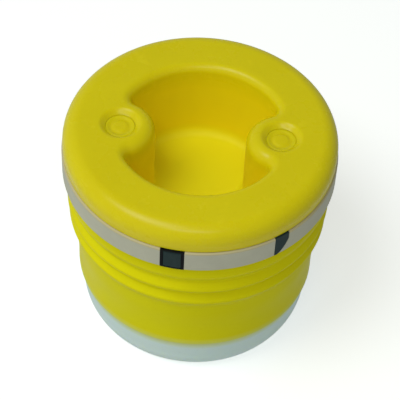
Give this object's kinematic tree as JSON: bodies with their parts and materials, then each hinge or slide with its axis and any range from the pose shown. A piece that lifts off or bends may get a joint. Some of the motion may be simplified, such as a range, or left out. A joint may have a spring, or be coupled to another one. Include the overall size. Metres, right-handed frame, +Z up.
{
  "type": "plastic chain stanchion",
  "caption": "Low round free-standing plastic chain stanchion: twist-lock cap with grip well, collar with chain sockets and release buttons, ribbed shell, weighted base.",
  "frame": {"origin": "middle of the circle that the foot ring stands on", "axes": "+Z up along the axis; the two columns in the grip well stand at -5 and 179 degrees round +Z from +X; the front chain socket faces 9 degrees off -Y"},
  "size_m": [0.101, 0.101, 0.0893],
  "materials": {
    "cap_plastic": "soft satin, moulded",
    "plug_plastic": "soft satin, moulded",
    "body_plastic": "satin, moulded",
    "neck_plastic": "smooth",
    "collar_plastic": "satin",
    "socket_plastic": "fine texture",
    "flap_plastic": "satin",
    "sleeve_plastic": "smooth",
    "base_plastic": "satin, slightly translucent",
    "seal_rubber": "matt",
    "foot_rubber": "matt",
    "ballast_iron": "as cast",
    "insert_brass": "turned",
    "screw_steel": "zinc plated",
    "spring_steel": "drawn"
  },
  "bodies": {
    "stand": {"neck_gasket": "seal_rubber", "glide_ring": "sleeve_plastic", "collar_half_right": "collar_plastic", "collar_half_left": "collar_plastic", "chain_socket_front": "socket_plastic", "chain_socket_rear": "socket_plastic", "clip_springs": "spring_steel", "button_spring_right": "spring_steel", "button_spring_left": "spring_steel", "collar_gasket": "seal_rubber", "body_shell": "body_plastic", "neck_ring": "neck_plastic", "base_inserts": "insert_brass", "base_gasket": "seal_rubber", "base_cup": "base_plastic", "base_screws": "screw_steel", "ballast_disc": "ballast_iron", "foot_ring": "foot_rubber"},
    "cap": {"grip_cap": "cap_plastic", "lobe_plugs": "plug_plastic", "tower_screws": "screw_steel", "lock_sleeve": "sleeve_plastic"},
    "flap_front": {"socket_flap_front": "flap_plastic"},
    "flap_rear": {"socket_flap_rear": "flap_plastic"},
    "button_right": {"release_button_right": "flap_plastic"},
    "button_left": {"release_button_left": "flap_plastic"}
  },
  "joints": [
    {"name": "cap_twist", "type": "hinge", "parent": "stand", "child": "cap", "pos_m": [0, 0, 0.0797], "axis": [0, 0, 1], "range_deg": [0, 45]},
    {"name": "flap_front_swing", "type": "hinge", "parent": "stand", "child": "flap_front", "pos_m": [-0.00774, -0.04889, 0.07795], "axis": [0.9877, -0.1564, 0], "range_deg": [0, 85]},
    {"name": "flap_rear_swing", "type": "hinge", "parent": "stand", "child": "flap_rear", "pos_m": [0.00774, 0.04889, 0.07795], "axis": [-0.9877, 0.1564, 0], "range_deg": [0, 85]},
    {"name": "button_right_press", "type": "slide", "parent": "stand", "child": "button_right", "axis": [-0.6018, 0.7986, 0], "range_m": [0, 0.0015], "stiffness_N_per_m": 600, "springref_m": -0.002, "deforming": ["button_spring_right"]},
    {"name": "button_left_press", "type": "slide", "parent": "stand", "child": "button_left", "axis": [0.6018, -0.7986, 0], "range_m": [0, 0.0015], "stiffness_N_per_m": 600, "springref_m": -0.002, "deforming": ["button_spring_left"]}
  ]
}
